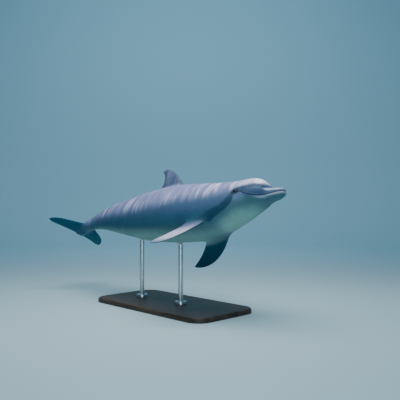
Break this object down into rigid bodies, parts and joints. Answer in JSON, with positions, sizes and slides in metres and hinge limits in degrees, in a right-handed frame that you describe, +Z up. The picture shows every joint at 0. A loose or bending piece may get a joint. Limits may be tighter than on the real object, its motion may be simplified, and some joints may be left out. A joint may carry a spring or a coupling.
{
  "type": "bottlenose dolphin display model",
  "caption": "Life-size still model of an adult bottlenose dolphin gliding with its head raised and one side rolled up, on a flat base with rods under the belly.",
  "frame": {"origin": "middle of the underside of the stand's base, on the floor", "axes": "+X the way the dolphin swims, +Y to its left, +Z up"},
  "size_m": [2.5573, 0.7555, 1.1322],
  "materials": {
    "skin": "smooth satin skin, slate grey over the back, fins and flukes, paler on the flanks and off-white on the belly",
    "eye": "dark brown, wet gloss",
    "stand_base": "dark stained oak, satin lacquer",
    "stand_rod": "fine brushed stainless steel"
  },
  "bodies": {
    "root": {"head": "skin", "lower_jaw": "skin", "eye_left": "eye", "eye_right": "eye", "chest": "skin", "trunk": "skin", "tail_stock": "skin", "dorsal_fin": "skin", "fluke_left": "skin", "fluke_right": "skin", "flipper_left": "skin", "flipper_right": "skin", "stand_base": "stand_base", "stand_rod_front": "stand_rod", "stand_collar_front": "stand_rod", "stand_rod_rear": "stand_rod", "stand_collar_rear": "stand_rod"}
  },
  "joints": []
}
